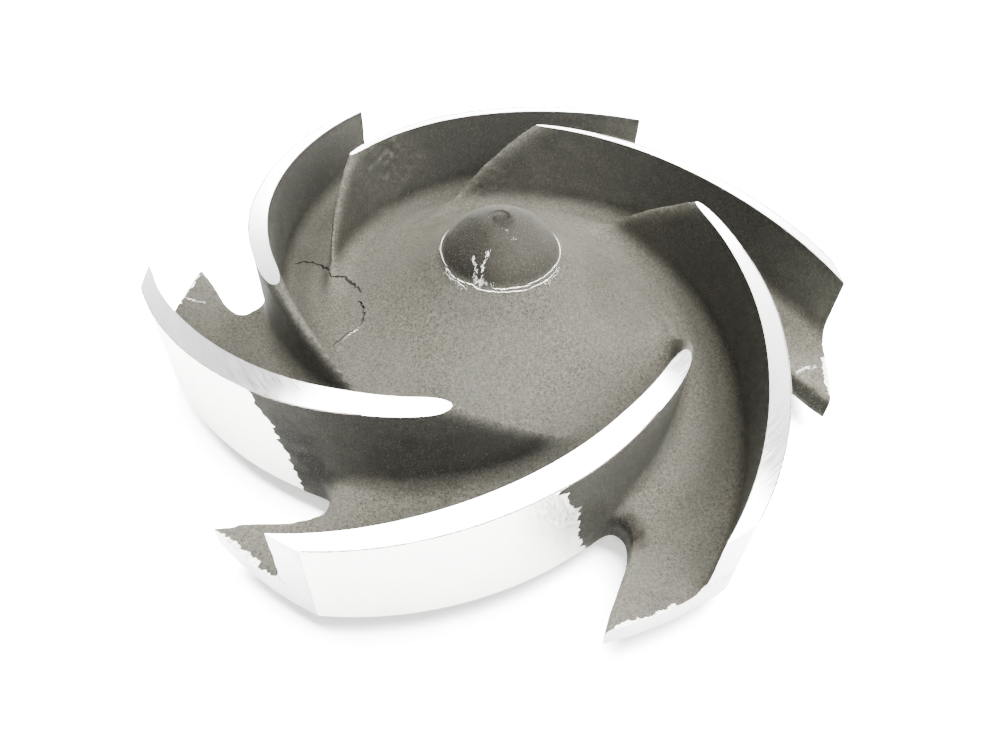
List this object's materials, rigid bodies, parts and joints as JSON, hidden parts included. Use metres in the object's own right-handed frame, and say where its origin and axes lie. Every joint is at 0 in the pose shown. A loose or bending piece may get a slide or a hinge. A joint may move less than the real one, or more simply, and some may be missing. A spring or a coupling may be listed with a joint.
{
  "type": "centrifugal pump impeller",
  "caption": "Semi-open centrifugal pump impeller: swept vanes on a scalloped shroud with a domed nose, cast in one piece and hung on a blind shaft bore.",
  "frame": {"origin": "centre of the flat back boss, on the rotation axis", "axes": "+Z along the rotation axis from the back boss to the nose, +X through the outer corner of one vane's hollow side"},
  "size_m": [0.254, 0.2448, 0.0759],
  "materials": {
    "cast_iron": "as cast, with machined rim and vane edges"
  },
  "bodies": {
    "root": {"impeller_casting": "cast_iron"}
  },
  "joints": []
}
